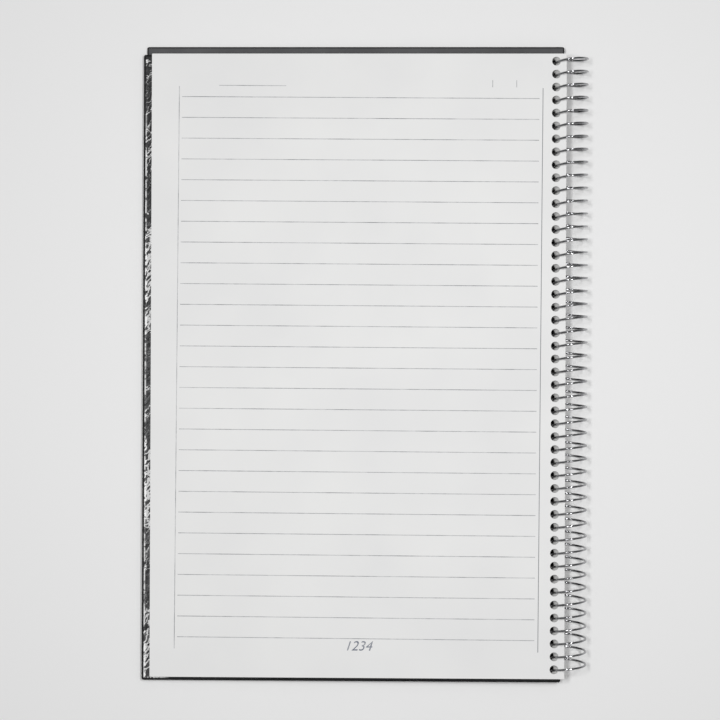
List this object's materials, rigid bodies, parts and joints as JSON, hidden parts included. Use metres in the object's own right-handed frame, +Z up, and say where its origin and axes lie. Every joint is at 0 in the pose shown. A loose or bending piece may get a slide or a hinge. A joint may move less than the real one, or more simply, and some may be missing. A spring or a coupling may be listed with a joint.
{
  "type": "spiral notebook",
  "caption": "Hard-cover ruled notebook on a wire coil, lying folded open with one cover swung round behind the pages.",
  "frame": {"origin": "middle of the bottom face of the bounding box, in the plane of the table that the notebook lies on", "axes": "+X across the page towards the coil, +Y up the page towards its head, +Z up from the table"},
  "size_m": [0.2154, 0.308, 0.0174],
  "materials": {
    "cover_board": "satin dark grey covering paper over board",
    "cover_lining": "satin endpaper, black, grey and white marbling",
    "pages": "matt white writing paper",
    "ruling_ink": "pale grey-blue printed ink",
    "coil_wire": "bright plated steel wire"
  },
  "bodies": {
    "front_cover": {"front_cover": "cover_board", "front_lining": "cover_lining"},
    "page_block": {"page_block": "pages", "page_ruling": "ruling_ink"},
    "back_cover": {"back_cover": "cover_board", "back_lining": "cover_lining"},
    "wire_coil": {"wire_coil": "coil_wire"}
  },
  "joints": [
    {"name": "page_lift", "type": "hinge", "parent": "front_cover", "child": "page_block", "pos_m": [0.09899, 0, 0.0087], "axis": [0, 1, 0], "range_deg": [0, 30]},
    {"name": "back_cover_hinge", "type": "hinge", "parent": "front_cover", "child": "back_cover", "pos_m": [0.09899, 0, 0.0087], "axis": [0, -1, 0], "range_deg": [0, 180]},
    {"name": "coil_turn", "type": "hinge", "parent": "front_cover", "child": "wire_coil", "pos_m": [0.09899, 0, 0.0087], "axis": [0, -1, 0], "range_deg": [0, 45]}
  ],
  "couplings": [
    {"joint": "coil_turn", "follows": "back_cover_hinge", "ratio": 0.25}
  ]
}
